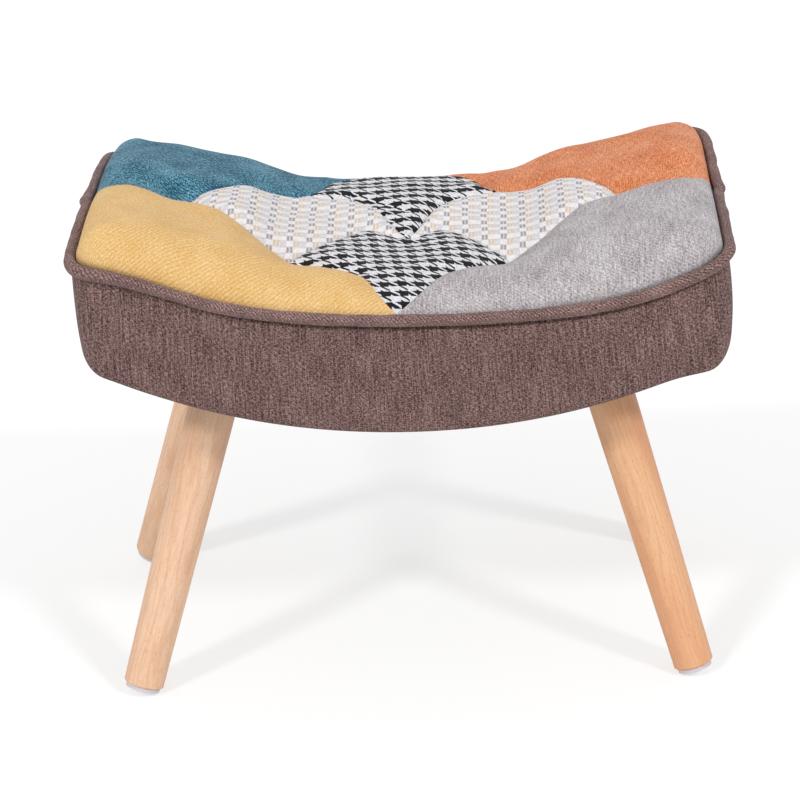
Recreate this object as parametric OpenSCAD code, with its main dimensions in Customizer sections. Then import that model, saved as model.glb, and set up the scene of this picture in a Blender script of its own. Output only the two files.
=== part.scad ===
// Footstool with a saddle-curved, tufted patchwork seat on four splayed round legs.
// Sizes are in millimetres. The origin is on the floor under the middle of the seat:
// X runs along the width, Y from the front to the back and Z up.

/* [Seat] */
// Width of the seat over its piping
seat_w = 600; // [540:5:680]
// Depth of the seat over its piping
seat_d = 370; // [340:5:430]
// Height of the piping at the middle of the front edge
piping_mid_h = 374; // [364:1:400]
// How far the piping climbs from the middle of the front to the ends
piping_rise = 56; // [46:1:66]
// How late the piping climbs, where 2 is an even bend
rise_power = 2.4; // [2.1:0.1:2.8]
// Rounding of the seat's upright corners
corner_r = 26; // [22:1:34]
// Height of the band at the middle of the front, from the underside up to the piping
band_h = 109.5; // [104:0.5:118]
// Radius of the bend of the underside
underside_bend_r = 624; // [590:1:680]
// Rounding where the underside turns up into the ends
underside_end_r = 35; // [30:1:37]

/* [Cushion] */
// Height of the cushion's crown over the piping
crown_h = 44; // [32:1:56]
// Distance in from the edge at which the crown is full
crown_edge_w = 58; // [40:1:70]
// Depth of the valley along a seam between two patches
seam_depth = 7; // [3:0.5:10]
// Half the width over which a seam draws the cover in
seam_draw_w = 20; // [12:1:30]
// Depth of the tuft in the middle of the seat
tuft_depth_mid = 20; // [10:1:24]
// Depth of the two tufts on the long middle line
tuft_depth_side = 15; // [8:1:20]
// Depth of the four tufts between the middle line and the edges
tuft_depth_diag = 19; // [10:1:23]
// Radius over which a tuft pulls its dimple
tuft_reach = 28; // [18:1:36]
// Distance of the two end tufts from the ends of the seat
tuft_inset_x = 100; // [85:5:120]
// Distance of the four outer tufts from the front or the back of the seat
tuft_inset_y = 83; // [75:1:95]

/* [Cover] */
// Thickness of the cover fabric with its backing
fabric_t = 2; // [1.5:0.1:2.6]
// Diameter of the piping
piping_d = 11; // [8:0.5:13]
// Width of the band's hem, turned under the frame
hem_w = 26; // [20:1:32]
// Thickness of the side wadding
wadding_t = 4; // [3:0.5:6]
// Depth of the fibre pad below the piping at its sides
pad_side_h = 24; // [18:1:28]
// Thickness of the dust cover
dust_cover_t = 1; // [0.6:0.1:1.4]
// Distance of the dust cover's edge from the band's face
dust_cover_inset = 12; // [8:1:16]
// Length of a staple's back
staple_l = 12; // [8:1:14]
// Width of a staple's back
staple_w = 1.2; // [0.8:0.1:1.6]
// Height of a staple's back
staple_h = 0.7; // [0.5:0.1:1]

/* [Frame] */
// Height of the rails at the middle of the front
rail_mid_h = 39.5; // [34:0.5:42]
// Thickness of the rails
rail_t = 18; // [15:1:21]
// How much flatter the deck bends than the underside, as a radius
deck_flatter_r = 136; // [110:1:170]
// Thickness of the bent plywood deck
deck_t = 6; // [4:0.5:7]
// Length of a leg block, along the width of the seat
block_l = 70; // [64:1:80]
// Reach of a leg block, from its rail towards the middle of the seat
block_w = 102; // [90:1:112]
// Diameter of a frame screw
screw_d = 4; // [3:0.5:5]
// Length of a frame screw
screw_l = 42; // [34:1:50]
// Diameter of a frame screw's head
screw_head_d = 8; // [7:0.5:9]
// How deep the corner screws' heads lie below the rail's flat face
end_screw_sunk = 6; // [5:0.5:8]
// Distance between the two screws of a leg block
block_screw_gap = 40; // [30:1:46]

/* [Tufting] */
// Diameter of the tufting twine
twine_d = 1.6; // [1.2:0.1:2.4]
// Diameter of the knot under a washer
knot_d = 6; // [5:0.5:8]
// Diameter of a tuft washer
washer_d = 20; // [16:1:24]
// Thickness of a tuft washer
washer_t = 2; // [1.5:0.1:3]

/* [Legs] */
// Diameter of a leg at its top
leg_top_d = 46; // [40:0.5:50]
// Diameter of a leg at its foot
leg_foot_d = 37.5; // [33:0.5:42]
// Chamfer round a leg's ends
leg_chamfer = 1.5; // [1:0.1:2.5]
// Distance of a leg's seat from the end of the stool
leg_inset_x = 126; // [115:1:135]
// Distance of a leg's seat from the front or the back of the stool
leg_inset_y = 97; // [91:1:101]
// Depth of a leg's seat in the underside
leg_recess_h = 8; // [7.5:0.5:10]
// Splay of a leg towards the end of the stool, in degrees
splay_side = 16.3; // [10:0.1:18]
// Splay of a leg towards the front or the back, in degrees
splay_front = 12; // [8:0.1:13]
// Diameter of a foot pad
foot_pad_d = 32; // [28:0.5:34]
// Thickness of a foot pad
foot_pad_t = 4; // [3:0.5:6]
// How far the floor has worn a foot pad flat
foot_flat = 1.2; // [0.8:0.1:1.6]

/* [Leg fixings] */
// Diameter of a hanger bolt
bolt_d = 8; // [6:1:10]
// Length of a hanger bolt inside its leg
bolt_leg_l = 34; // [26:1:44]
// Length of the point of a hanger bolt
bolt_point_l = 5; // [3:0.5:7]
// Diameter of a tee nut's barrel
tee_barrel_d = 11; // [11:0.5:13]
// Length of a tee nut's barrel
tee_barrel_l = 11; // [8:0.5:12]
// Diameter of a tee nut's flange
tee_flange_d = 22; // [19:0.5:26]
// Thickness of a tee nut's flange
tee_flange_t = 1.6; // [1.2:0.1:2]
// Thickness of the wood between a leg's top and the tee nut's barrel
tee_cover_t = 3; // [2:0.5:4]

/* [Hidden] */
// Clearance between pieces that lie against each other
fit_gap = 0.3;
// Clearance round a pin, screw, bolt or twine in its hole
hole_gap = 0.2;
// Clearance round a leg or a tee nut in its block, and round a leg in the dust cover
leg_gap = 0.6;
leg_hole_gap = 2;
// Extra length of a cut, so that it passes right through
overrun = 20;
// Points of a soft surface lie on this grid, so that neighbours share them
point_grid = 0.001;
// How pointed a tuft's dimple is, where 2 is a round hollow
dimple_power = 1.4;
// The outer tufts lie halfway between the middle tuft and the end tufts
tuft_halfway_share = 0.5;
// Diameter of a hanger bolt's tip, as a share of the bolt's
bolt_tip_share = 0.25;

// Cells of the soft surfaces
seam_cells = 8;
side_seam_cells = 6;
side_edge_cells = 5;
corner_cells = 8;
long_edge_cells = seam_cells * 2 + side_seam_cells - side_edge_cells - corner_cells;
rise_cells = 7;
piping_sides = 8;
// Straight stretches along each bend of the frame
bend_cells = 24;
end_cells = 6;
// Staples along the long sides and the ends of the dust cover
long_staples = 8;
end_staples = 4;

piping_r = piping_d / 2;
half_w = seat_w / 2 - piping_d - fit_gap;
half_d = seat_d / 2 - piping_d - fit_gap;
piping_out = piping_r + fit_gap;
frame_in = fabric_t + wadding_t;
pad_in = fabric_t + fit_gap;

// The bend of the underside and of its rounded ends
underside_h = piping_mid_h - band_h;
bend_z = underside_h + underside_bend_r;
end_turn = asin((half_w - underside_end_r) / (underside_bend_r - underside_end_r));
end_x = half_w - underside_end_r;
end_z = bend_z - (underside_bend_r - underside_end_r) * cos(end_turn);

// The bend of the deck
deck_r = underside_bend_r + deck_flatter_r;
deck_mid_h = underside_h + fabric_t + rail_mid_h;
deck_z = deck_mid_h + deck_r;
deck_turn = asin(half_w / deck_r);

// The tufts of one quarter of the seat
tuft_side_x = seat_w / 2 - tuft_inset_x;
tuft_diag_x = tuft_side_x * tuft_halfway_share;
tuft_diag_y = seat_d / 2 - tuft_inset_y;
mid_tuft = [0, 0];
side_tuft = [tuft_side_x, 0];
diag_tuft = [tuft_diag_x, tuft_diag_y];
tufts = [[0, 0], [-1, 0], [1, 0], [-1, -1], [1, -1], [-1, 1], [1, 1]];

// The seat of the rear right leg and its lean
leg_seat_x = seat_w / 2 - leg_inset_x;
leg_seat_y = seat_d / 2 - leg_inset_y;
slope_x = tan(splay_side);
slope_y = tan(splay_front);
lean = norm([slope_x, slope_y, 1]);
leg_turn = [asin(slope_y / lean), -splay_side, 0];
leg_seat_z = frame_under_z(leg_seat_x) + leg_recess_h;
foot_rim_rise = foot_pad_d / 2 * norm([slope_x, slope_y]) / lean;
leg_end_z = foot_rim_rise - foot_flat + foot_pad_t / lean;
leg_l = (leg_seat_z - leg_end_z) * lean;
tee_flange_at = tee_cover_t + tee_barrel_l;
rail_y = half_d - frame_in;

// Colours
mustard = [0.89, 0.75, 0.50];
teal = [0.33, 0.52, 0.60];
orange = [0.84, 0.56, 0.41];
grey = [0.73, 0.71, 0.71];
cream = [0.85, 0.82, 0.79];
black_white = [0.55, 0.55, 0.55];
brown = [0.47, 0.37, 0.36];
beech = [0.92, 0.76, 0.62];
plywood = [0.83, 0.70, 0.52];
pine = [0.88, 0.77, 0.57];
white_fibre = [0.95, 0.95, 0.94];
foam_yellow = [0.93, 0.87, 0.68];
zinc = [0.72, 0.73, 0.74];
near_black = [0.10, 0.10, 0.11];
felt = [0.80, 0.79, 0.78];
natural_twine = [0.84, 0.80, 0.72];

// Every piece of the stool

// Height of the frame's underside, of its rounded end and of the deck's underside at a distance across
function arc_z(middle_z, r, x) = middle_z - sqrt(r * r - x * x);
function frame_under_z(x) = arc_z(bend_z, underside_bend_r - fabric_t, x);
function end_under_z(x) = arc_z(end_z, underside_end_r - fabric_t, x - end_x);
function deck_under_z(x) = arc_z(deck_z, deck_r, x);

// Small helpers
function between(a, b, t) = a + (b - a) * t;
function ease(t) = (1 - cos(180 * t)) / 2;
function on_grid(v) = [for (c = v) round(c / point_grid) * point_grid];
function flat(lists) = [for (l = lists) for (v = l) v];
function reversed(l) = [for (i = [len(l) - 1:-1:0]) l[i]];
function on_arc(c, r, a) = [c.x + r * cos(a), c.y + r * sin(a)];
function signed(p, s) = [p.x * s.x, p.y * s.y, p.z];

// Height of the piping line over a point across, for an outline of that half width
function edge_z(x, half) = piping_mid_h + piping_rise * pow(min(abs(x) / half, 1), rise_power);

// Distance in from the rounded outline of the cover, drawn in by a given amount
function edge_distance(p, in) =
    let (qx = abs(p.x) - (half_w - corner_r), qy = abs(p.y) - (half_d - corner_r))
    corner_r - in - norm([max(qx, 0), max(qy, 0)]) - min(max(qx, qy), 0);

// Distance from a point to the stretch between a and b
function stretch_distance(p, a, b) =
    let (t = min(max((p - a) * (b - a) / ((b - a) * (b - a)), 0), 1))
    norm(p - between(a, b, t));

// Distance to the nearest seam, by the symmetry of the seat
function seam_distance(p) =
    let (q = [abs(p.x), abs(p.y)])
    min(stretch_distance(q, mid_tuft, diag_tuft), stretch_distance(q, side_tuft, diag_tuft),
        stretch_distance(q, side_tuft, [half_w, 0]), stretch_distance(q, diag_tuft, [0, half_d]));

// Depth of one tuft's dimple at a point
function dimple(p, tuft, depth) =
    depth * exp(-pow(norm([abs(p.x), abs(p.y)] - tuft) / tuft_reach, dimple_power));

// Height of the cushion's surface, drawn in by a given amount on all sides
function cushion_z(p, in) =
    let (away = min(max(edge_distance(p, in) / crown_edge_w, 0), 1),
         full = sqrt(1 - pow(1 - away, 2)),
         valley = seam_depth * exp(-pow(seam_distance(p) / seam_draw_w, 2)),
         dimples = dimple(p, mid_tuft, tuft_depth_mid) + dimple(p, side_tuft, tuft_depth_side)
             + dimple(p, diag_tuft, tuft_depth_diag))
    edge_z(p.x, half_w - in) + full * (crown_h - in - valley - dimples);

function on_cushion(p, in) = on_grid([p.x, p.y, cushion_z(p, in)]);

// Two triangles for each cell of a grid of points
function skin(grid, flip = false) = [
    for (k = [0:len(grid) - 2])
        for (j = [0:len(grid[k]) - 2])
            let (a = grid[k][j], b = grid[k + 1][j], c = grid[k + 1][j + 1], d = grid[k][j + 1])
                for (t = [[a, b, c], [a, c, d]])
                    if (t[0] != t[1] && t[1] != t[2] && t[2] != t[0])
                        flip ? [t[0], t[2], t[1]] : t
];

// A solid from its triangles, and from one flat base where they leave it open
module closed_skin(triangles, base = []) {
    first = 3 * len(triangles);
    sides = [for (i = [0:len(triangles) - 1]) [3 * i, 3 * i + 1, 3 * i + 2]];
    polyhedron(points = concat(flat(triangles), base),
               faces = len(base) == 0 ? sides : concat(sides, [[for (i = [0:len(base) - 1]) first + i]]));
}

// The seams round a corner patch of the rear right quarter, from the end of the seat to its back
function eased_run(a, b, cells) = [for (i = [0:cells - 1]) between(a, b, ease(i / cells))];
function seam_chain(in) = concat(
    eased_run([half_w - in, 0], side_tuft, side_seam_cells),
    eased_run(side_tuft, diag_tuft, seam_cells),
    eased_run(diag_tuft, [0, half_d - in], seam_cells),
    [[0, half_d - in]]
);

// The outer edge of the same quarter, with as many points
function edge_chain(in) = concat(
    [for (i = [0:side_edge_cells - 1]) [half_w - in, (half_d - corner_r) * i / side_edge_cells]],
    [for (i = [0:corner_cells - 1])
        on_arc([half_w - corner_r, half_d - corner_r], corner_r - in, 90 * i / corner_cells)],
    [for (i = [0:long_edge_cells])
        [(half_w - corner_r) * (1 - i / long_edge_cells), half_d - in]]
);

// Points of a corner patch, from its seams to its edge, and of a diamond between four corners
function corner_grid(in) =
    let (seam = seam_chain(in), edge = edge_chain(in))
    [for (k = [0:len(seam) - 1])
        [for (j = [0:rise_cells]) between(seam[k], edge[k], ease(j / rise_cells))]];
function diamond_grid(a, b, c, d) = [
    for (i = [0:seam_cells])
        [for (j = [0:seam_cells])
            let (u = ease(i / seam_cells), v = ease(j / seam_cells))
                between(between(a, b, u), between(d, c, u), v)]
];
function cream_grid() = diamond_grid(mid_tuft, diag_tuft, side_tuft, [tuft_diag_x, -tuft_diag_y]);
function houndstooth_grid(in) =
    diamond_grid(mid_tuft, [-tuft_diag_x, tuft_diag_y], [0, half_d - in], diag_tuft);

function raised(grid, in) = [for (row = grid) [for (p = row) on_cushion(p, in)]];
function column(grid, j) = [for (row = grid) row[j]];

// A patch of cover fabric between an upper and a lower grid of points
module patch(upper, lower) {
    last_row = len(upper) - 1;
    last = len(upper[0]) - 1;
    closed_skin(concat(
        skin(upper),
        skin(lower, true),
        skin([column(upper, 0), column(lower, 0)]),
        skin([column(upper, last), column(lower, last)], true),
        skin([upper[0], lower[0]], true),
        skin([upper[last_row], lower[last_row]])
    ));
}

module corner_patch() {
    patch(raised(corner_grid(0), 0), raised(corner_grid(fabric_t), fabric_t));
}

module cream_patch() {
    patch(raised(cream_grid(), 0), raised(cream_grid(), fabric_t));
}

module houndstooth_patch() {
    patch(raised(houndstooth_grid(0), 0), raised(houndstooth_grid(fabric_t), fabric_t));
}

// The rear right quarter's shape, put in another quarter of the stool
module quarter(x_sign, y_sign) {
    mirror([x_sign < 0 ? 1 : 0, 0, 0]) mirror([0, y_sign < 0 ? 1 : 0, 0]) children();
}

module each_quarter() {
    for (x_sign = [-1, 1], y_sign = [-1, 1]) quarter(x_sign, y_sign) children();
}

// The soft fill: all the patches' grids, one fabric lower, down to the foam slab
function pad_grids() = [
    for (x_sign = [-1, 1]) for (y_sign = [-1, 1]) [corner_grid(pad_in), [x_sign, y_sign]],
    for (x_sign = [-1, 1]) [cream_grid(), [x_sign, 1]],
    for (y_sign = [-1, 1]) [houndstooth_grid(pad_in), [1, y_sign]]
];
function pad_top(p) = on_cushion(p, pad_in);
function pad_base(p) = on_grid([p.x, p.y, underside_h]);

module fibre_pad() {
    edge = edge_chain(pad_in);
    skins = [
        for (g = pad_grids())
            let (s = g[1])
                skin([for (row = g[0]) [for (p = row) signed(pad_top(p), s)]], s.x * s.y < 0)
    ];
    sides = [
        for (x_sign = [-1, 1]) for (y_sign = [-1, 1])
            let (s = [x_sign, y_sign])
                skin([[for (p = edge) signed(pad_top(p), s)], [for (p = edge) signed(pad_base(p), s)]],
                     s.x * s.y > 0)
    ];
    color(white_fibre) difference() {
        closed_skin(flat(concat(skins, sides)), [for (p = whole_edge(pad_in)) pad_base(p)]);
        along_depth(concat(edge_line(0, pad_side_h - fit_gap), [[half_w, 0], [-half_w, 0]]));
        tuft_bores(twine_d / 2 + hole_gap);
    }
}

// Upright bores at the seven tufts
module tuft_bores(r) {
    for (t = tufts)
        translate([tuft_x(t), tuft_diag_y * t.y, underside_h])
            cylinder(r = r, h = piping_mid_h + piping_rise, $fn = 14);
}
function tuft_x(t) = t.y == 0 ? tuft_side_x * t.x : tuft_diag_x * t.x;

// Outlines of the frame in the XZ plane, from left to right
function underside_line(in) = concat(
    [for (i = [0:end_cells])
        on_arc([-end_x, end_z], underside_end_r - in, 180 + (90 - end_turn) * i / end_cells)],
    [for (i = [1:bend_cells - 1])
        on_arc([0, bend_z], underside_bend_r - in, 270 - end_turn + 2 * end_turn * i / bend_cells)],
    [for (i = [0:end_cells])
        on_arc([end_x, end_z], underside_end_r - in, 270 + end_turn + (90 - end_turn) * i / end_cells)]
);
function deck_line(r) = [
    for (i = [0:bend_cells]) on_arc([0, deck_z], r, 270 - deck_turn + 2 * deck_turn * i / bend_cells)
];
function edge_line(in, drop) = [
    for (i = [0:bend_cells])
        let (x = (half_w - in) * (2 * i / bend_cells - 1)) [x, edge_z(x, half_w) - drop]
];

// An outline in the XZ plane, drawn out along the whole depth of the stool
module along_depth(outline) {
    translate([0, seat_d / 2, 0]) rotate([90, 0, 0]) linear_extrude(seat_d) polygon(outline);
}

// The seat's plan, drawn in by a given amount, and an upright block of it
function half_edge(in) =
    let (edge = edge_chain(in)) concat(edge, [for (p = reversed(edge)) if (p.x > 0) [-p.x, p.y]]);
function whole_edge(in) =
    let (edge = half_edge(in)) concat(edge, [for (p = reversed(edge)) if (p.y > 0) [p.x, -p.y]]);
module plan_block(in) {
    linear_extrude(seat_w) polygon(whole_edge(in));
}

// The band, with its hem turned under the frame
module side_band() {
    color(brown) difference() {
        intersection() {
            along_depth(concat(underside_line(0), reversed(edge_line(0, fit_gap))));
            plan_block(0);
        }
        intersection() {
            along_depth(concat(underside_line(fabric_t), reversed(edge_line(fabric_t, -overrun))));
            plan_block(fabric_t);
        }
        plan_block(hem_w);
    }
}

module side_wadding() {
    color(white_fibre) difference() {
        intersection() {
            along_depth(concat(underside_line(fabric_t), reversed(edge_line(fabric_t, pad_side_h))));
            plan_block(fabric_t);
        }
        plan_block(frame_in);
    }
}

module seat_foam() {
    color(foam_yellow) difference() {
        intersection() {
            along_depth(concat(deck_line(deck_r - deck_t), reversed(edge_line(0, pad_side_h))));
            plan_block(frame_in);
        }
        tuft_bores(twine_d / 2 + hole_gap);
    }
}

module deck() {
    color(plywood) difference() {
        intersection() {
            along_depth(concat(deck_line(deck_r), reversed(deck_line(deck_r - deck_t))));
            plan_block(frame_in);
        }
        tuft_bores(twine_d / 2 + hole_gap);
    }
}

// All the wood between the hem and the deck, cut to a box that starts at x and y
module frame_wood(x, y, l, w) {
    intersection() {
        along_depth(concat(underside_line(fabric_t), reversed(deck_line(deck_r))));
        plan_block(frame_in);
        translate([x, y, 0]) cube([l, w, seat_w]);
    }
}

module long_rail() {
    color(plywood) difference() {
        frame_wood(-half_w, rail_y - rail_t, 2 * half_w, rail_t);
        frame_screw_set(hole_gap);
    }
}

module end_rail() {
    color(plywood) difference() {
        frame_wood(half_w - frame_in - rail_t, rail_t - rail_y, rail_t, 2 * (rail_y - rail_t));
        frame_screw_set(hole_gap);
        mirror([0, 1, 0]) frame_screw_set(hole_gap);
    }
}

// The block that takes the rear right leg, bored in line with the leg
module leg_block() {
    color(pine) difference() {
        frame_wood(leg_seat_x - block_l / 2, rail_y - rail_t - block_w, block_l, block_w);
        at_leg() translate([0, 0, -block_w]) cylinder(r = leg_top_d / 2 + leg_gap, h = block_w, $fn = 64);
        at_leg() translate([0, 0, -overrun])
            cylinder(r = tee_barrel_d / 2 + hole_gap, h = block_w, $fn = 32);
        at_leg() translate([0, 0, tee_flange_at])
            cylinder(r = tee_flange_d / 2 + leg_gap, h = block_w, $fn = 48);
        frame_screw_set(hole_gap);
    }
}

// Places of the countersunk screws through the rear rail, on its right half, and how deep their heads lie
function block_screw_z(x) = (frame_under_z(x) + deck_under_z(x)) / 2;
end_screw_x = half_w - frame_in - rail_t / 2;
end_screw_z = (end_under_z(end_screw_x) + deck_under_z(end_screw_x)) / 2;
screw_places = [
    [leg_seat_x - block_screw_gap / 2, block_screw_z(leg_seat_x - block_screw_gap / 2), 0],
    [leg_seat_x + block_screw_gap / 2, block_screw_z(leg_seat_x + block_screw_gap / 2), 0],
    [end_screw_x, end_screw_z, end_screw_sunk]
];

// The screws of the rear right quarter, grown by a clearance where they cut their holes
module frame_screw_set(grown) {
    head_h = (screw_head_d - screw_d) / 2;
    for (p = screw_places, side = [-1, 1])
        translate([p.x * side, rail_y - p.z, p.y]) rotate([90, 0, 0]) {
            translate([0, 0, -grown])
                cylinder(r = screw_d / 2 + grown, h = screw_l + 2 * grown, $fn = 24);
            translate([0, 0, -grown])
                cylinder(r1 = screw_head_d / 2 + grown, r2 = screw_d / 2 + grown, h = head_h, $fn = 24);
            if (grown > 0)
                translate([0, 0, -overrun])
                    cylinder(r = screw_head_d / 2 + grown, h = overrun - grown, $fn = 24);
        }
}

module frame_screws() {
    color(zinc) frame_screw_set(0);
    color(zinc) mirror([0, 1, 0]) frame_screw_set(0);
}

// Puts a shape whose Z axis is the leg's axis at the seat of the rear right leg
module at_leg() {
    translate([leg_seat_x, leg_seat_y, leg_seat_z]) rotate(leg_turn) children();
}

module leg() {
    top_r = leg_top_d / 2;
    foot_r = leg_foot_d / 2;
    color(beech) at_leg() difference() {
        rotate_extrude($fn = 64) polygon([
            [0, 0], [top_r - leg_chamfer, 0], [top_r, -leg_chamfer],
            [foot_r, leg_chamfer - leg_l], [foot_r - leg_chamfer, -leg_l], [0, -leg_l]
        ]);
        translate([0, 0, -bolt_leg_l - hole_gap])
            cylinder(r = bolt_d / 2 + hole_gap, h = bolt_leg_l + overrun, $fn = 32);
    }
}

// A disc under each foot, worn flat where it stands on the floor
module foot_pads() {
    color(felt) each_quarter() difference() {
        at_leg() translate([0, 0, -leg_l - foot_pad_t])
            cylinder(r = foot_pad_d / 2, h = foot_pad_t, $fn = 48);
        translate([-seat_w, -seat_w, -seat_w]) cube([2 * seat_w, 2 * seat_w, seat_w]);
    }
}

module hanger_bolts() {
    color(zinc) each_quarter() at_leg() {
        translate([0, 0, bolt_point_l - bolt_leg_l])
            cylinder(r = bolt_d / 2, h = bolt_leg_l - bolt_point_l + tee_flange_at, $fn = 32);
        translate([0, 0, -bolt_leg_l])
            cylinder(r1 = bolt_d / 2 * bolt_tip_share, r2 = bolt_d / 2, h = bolt_point_l, $fn = 32);
    }
}

module tee_nuts() {
    color(zinc) each_quarter() at_leg() difference() {
        union() {
            translate([0, 0, tee_cover_t]) cylinder(r = tee_barrel_d / 2, h = tee_barrel_l, $fn = 32);
            translate([0, 0, tee_flange_at]) cylinder(r = tee_flange_d / 2, h = tee_flange_t, $fn = 48);
        }
        cylinder(r = bolt_d / 2 + hole_gap, h = overrun + tee_flange_at, $fn = 32);
    }
}

// Lean of the deck at a tuft
function deck_lean(x) = asin(x / deck_r);

module tuft_washers() {
    color(near_black) difference() {
        for (t = tufts)
            translate([0, tuft_diag_y * t.y, deck_z]) rotate([0, -deck_lean(tuft_x(t)), 0])
                translate([0, 0, -deck_r - fit_gap - washer_t])
                    cylinder(r = washer_d / 2, h = washer_t, $fn = 32);
        tuft_bores(twine_d / 2 + hole_gap);
    }
}

// Twine from its knot under the washer up to the bottom of the dimple
module tuft_twines() {
    color(natural_twine) for (t = tufts) {
        p = [tuft_x(t), tuft_diag_y * t.y];
        knot_z = deck_under_z(p.x) - fit_gap - (washer_t + knot_d / 2 + fit_gap) / cos(deck_lean(p.x));
        translate([p.x, p.y, knot_z]) {
            cylinder(r = twine_d / 2, h = cushion_z(p, pad_in) - knot_z, $fn = 16);
            sphere(r = knot_d / 2, $fn = 24);
        }
    }
}

// The piping, swept round the seat
function piping_loop() =
    let (q = edge_chain(-piping_out),
         half = concat(q, [for (p = reversed(q)) if (p.x > 0) [-p.x, p.y]]))
    concat(half, [for (p = reversed(half)) if (p.y > 0 && p.y < seat_d) [p.x, -p.y]]);

module piping() {
    loop = piping_loop();
    count = len(loop);
    centres = [for (p = loop) [p.x, p.y, edge_z(p.x, half_w + piping_out)]];
    rings = [
        for (i = [0:count])
            let (c = centres[i % count],
                 along = centres[(i + 1) % count] - centres[(i + count - 1) % count],
                 out = cross(along, [0, 0, 1]), up = cross(out, along))
                [for (j = [0:piping_sides])
                    let (a = 360 * (j % piping_sides) / piping_sides)
                        on_grid(c + piping_r * (cos(a) * out / norm(out) + sin(a) * up / norm(up)))]
    ];
    color(brown) closed_skin(skin(rings, true));
}

module dust_cover() {
    color(near_black) difference() {
        intersection() {
            along_depth(concat(underside_line(-dust_cover_t), reversed(underside_line(0))));
            plan_block(dust_cover_inset);
        }
        each_quarter() at_leg() translate([0, 0, -leg_l])
            cylinder(r = leg_top_d / 2 + leg_hole_gap, h = leg_l, $fn = 64);
    }
}

// One staple, lying against the underside where it leans by an angle
module staple(turn, y, l, w) {
    translate([0, y, bend_z]) rotate([0, -turn, 0])
        translate([-l / 2, -w / 2, -underside_bend_r - dust_cover_t - fit_gap - staple_h])
            cube([l, w, staple_h]);
}

module dust_cover_staples() {
    staple_turn = end_turn - asin(staple_l / underside_bend_r);
    staple_y = half_d - dust_cover_inset - staple_l / 2;
    color(zinc) for (i = [0:long_staples - 1], side = [-1, 1])
        staple(staple_turn * (2 * i / (long_staples - 1) - 1), side * staple_y, staple_l, staple_w);
    color(zinc) for (i = [1:end_staples], side = [-1, 1])
        staple(side * (staple_turn + asin(staple_l / underside_bend_r)),
               staple_y * (2 * i / (end_staples + 1) - 1), staple_w, staple_l);
}

quarter(-1, -1) leg();  // leg_front_left
quarter(1, -1) leg();  // leg_front_right
quarter(-1, 1) leg();  // leg_rear_left
quarter(1, 1) leg();  // leg_rear_right
foot_pads();
hanger_bolts();
tee_nuts();
quarter(-1, -1) leg_block();  // leg_block_front_left
quarter(1, -1) leg_block();  // leg_block_front_right
quarter(-1, 1) leg_block();  // leg_block_rear_left
quarter(1, 1) leg_block();  // leg_block_rear_right
quarter(1, -1) long_rail();  // front_rail
quarter(1, 1) long_rail();  // rear_rail
quarter(-1, 1) end_rail();  // left_rail
quarter(1, 1) end_rail();  // right_rail
frame_screws();
deck();
seat_foam();
fibre_pad();
side_wadding();
tuft_twines();
tuft_washers();
color(teal) quarter(-1, 1) corner_patch();  // patch_teal
color(orange) quarter(1, 1) corner_patch();  // patch_orange
color(mustard) quarter(-1, -1) corner_patch();  // patch_mustard
color(grey) quarter(1, -1) corner_patch();  // patch_grey
color(cream) quarter(-1, 1) cream_patch();  // patch_cream_left
color(cream) quarter(1, 1) cream_patch();  // patch_cream_right
color(black_white) quarter(1, -1) houndstooth_patch();  // patch_houndstooth_front
color(black_white) quarter(1, 1) houndstooth_patch();  // patch_houndstooth_rear
side_band();
piping();
dust_cover();
dust_cover_staples();
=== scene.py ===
"""The looks of a footstool: a saddle-curved, tufted patchwork seat on four splayed round legs.

Shapes are worked out in millimetres in the CAD's frame and become metres when a piece is made.
X runs along the width, Y from the front to the back and Z up.
"""
import math

import bmesh
import bpy
import numpy as np
from mathutils import Matrix, Vector
from mathutils.geometry import delaunay_2d_cdt


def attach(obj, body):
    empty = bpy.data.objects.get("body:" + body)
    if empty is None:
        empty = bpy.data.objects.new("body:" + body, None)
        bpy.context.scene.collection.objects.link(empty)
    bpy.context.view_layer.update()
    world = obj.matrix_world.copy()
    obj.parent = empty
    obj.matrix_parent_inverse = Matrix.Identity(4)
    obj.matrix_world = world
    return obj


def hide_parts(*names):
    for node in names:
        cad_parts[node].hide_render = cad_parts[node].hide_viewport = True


MM = 0.001
FULL_TURN = 2 * math.pi
QUARTER_TURN = math.pi / 2

# Seat and cushion, as in the CAD
SEAT_W = 600
SEAT_D = 370
PIPING_MID_H = 374
PIPING_RISE = 56
RISE_POWER = 2.4
CORNER_R = 26
BAND_H = 109.5
BEND_R = 624
END_R = 35
CROWN_H = 44
CROWN_EDGE_W = 58
REAR_EDGE_W = 28
SEAM_DEPTH = 4
SEAM_DRAW_W = 17
TUFT_X = 200
TUFT_DIAG_Y = 102
FABRIC_T = 2
PIPING_D = 11
HEM_W = 26
WADDING_T = 4
PAD_SIDE_H = 24
DUST_COVER_INSET = 12
DECK_FLATTER_R = 136
DECK_T = 6
RAIL_MID_H = 39.5
TWINE_D = 1.6
LEG_TOP_D = 46
LEG_SEAT = (174, 88)
SPLAY_SIDE = math.radians(16.3)
SPLAY_FRONT = math.radians(12)
FIT_GAP = 0.3

HALF_W = SEAT_W / 2 - PIPING_D - FIT_GAP
HALF_D = SEAT_D / 2 - PIPING_D - FIT_GAP
PIPING_R = PIPING_D / 2
PIPING_OUT = PIPING_R + FIT_GAP
FRAME_IN = FABRIC_T + WADDING_T
UNDERSIDE_H = PIPING_MID_H - BAND_H
BEND_Z = UNDERSIDE_H + BEND_R
END_X = HALF_W - END_R
END_Z = BEND_Z - math.sqrt((BEND_R - END_R) ** 2 - END_X**2)
DECK_R = BEND_R + DECK_FLATTER_R
DECK_Z = UNDERSIDE_H + FABRIC_T + RAIL_MID_H + DECK_R
TUFT_DIAG = (TUFT_X / 2, TUFT_DIAG_Y)
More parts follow.
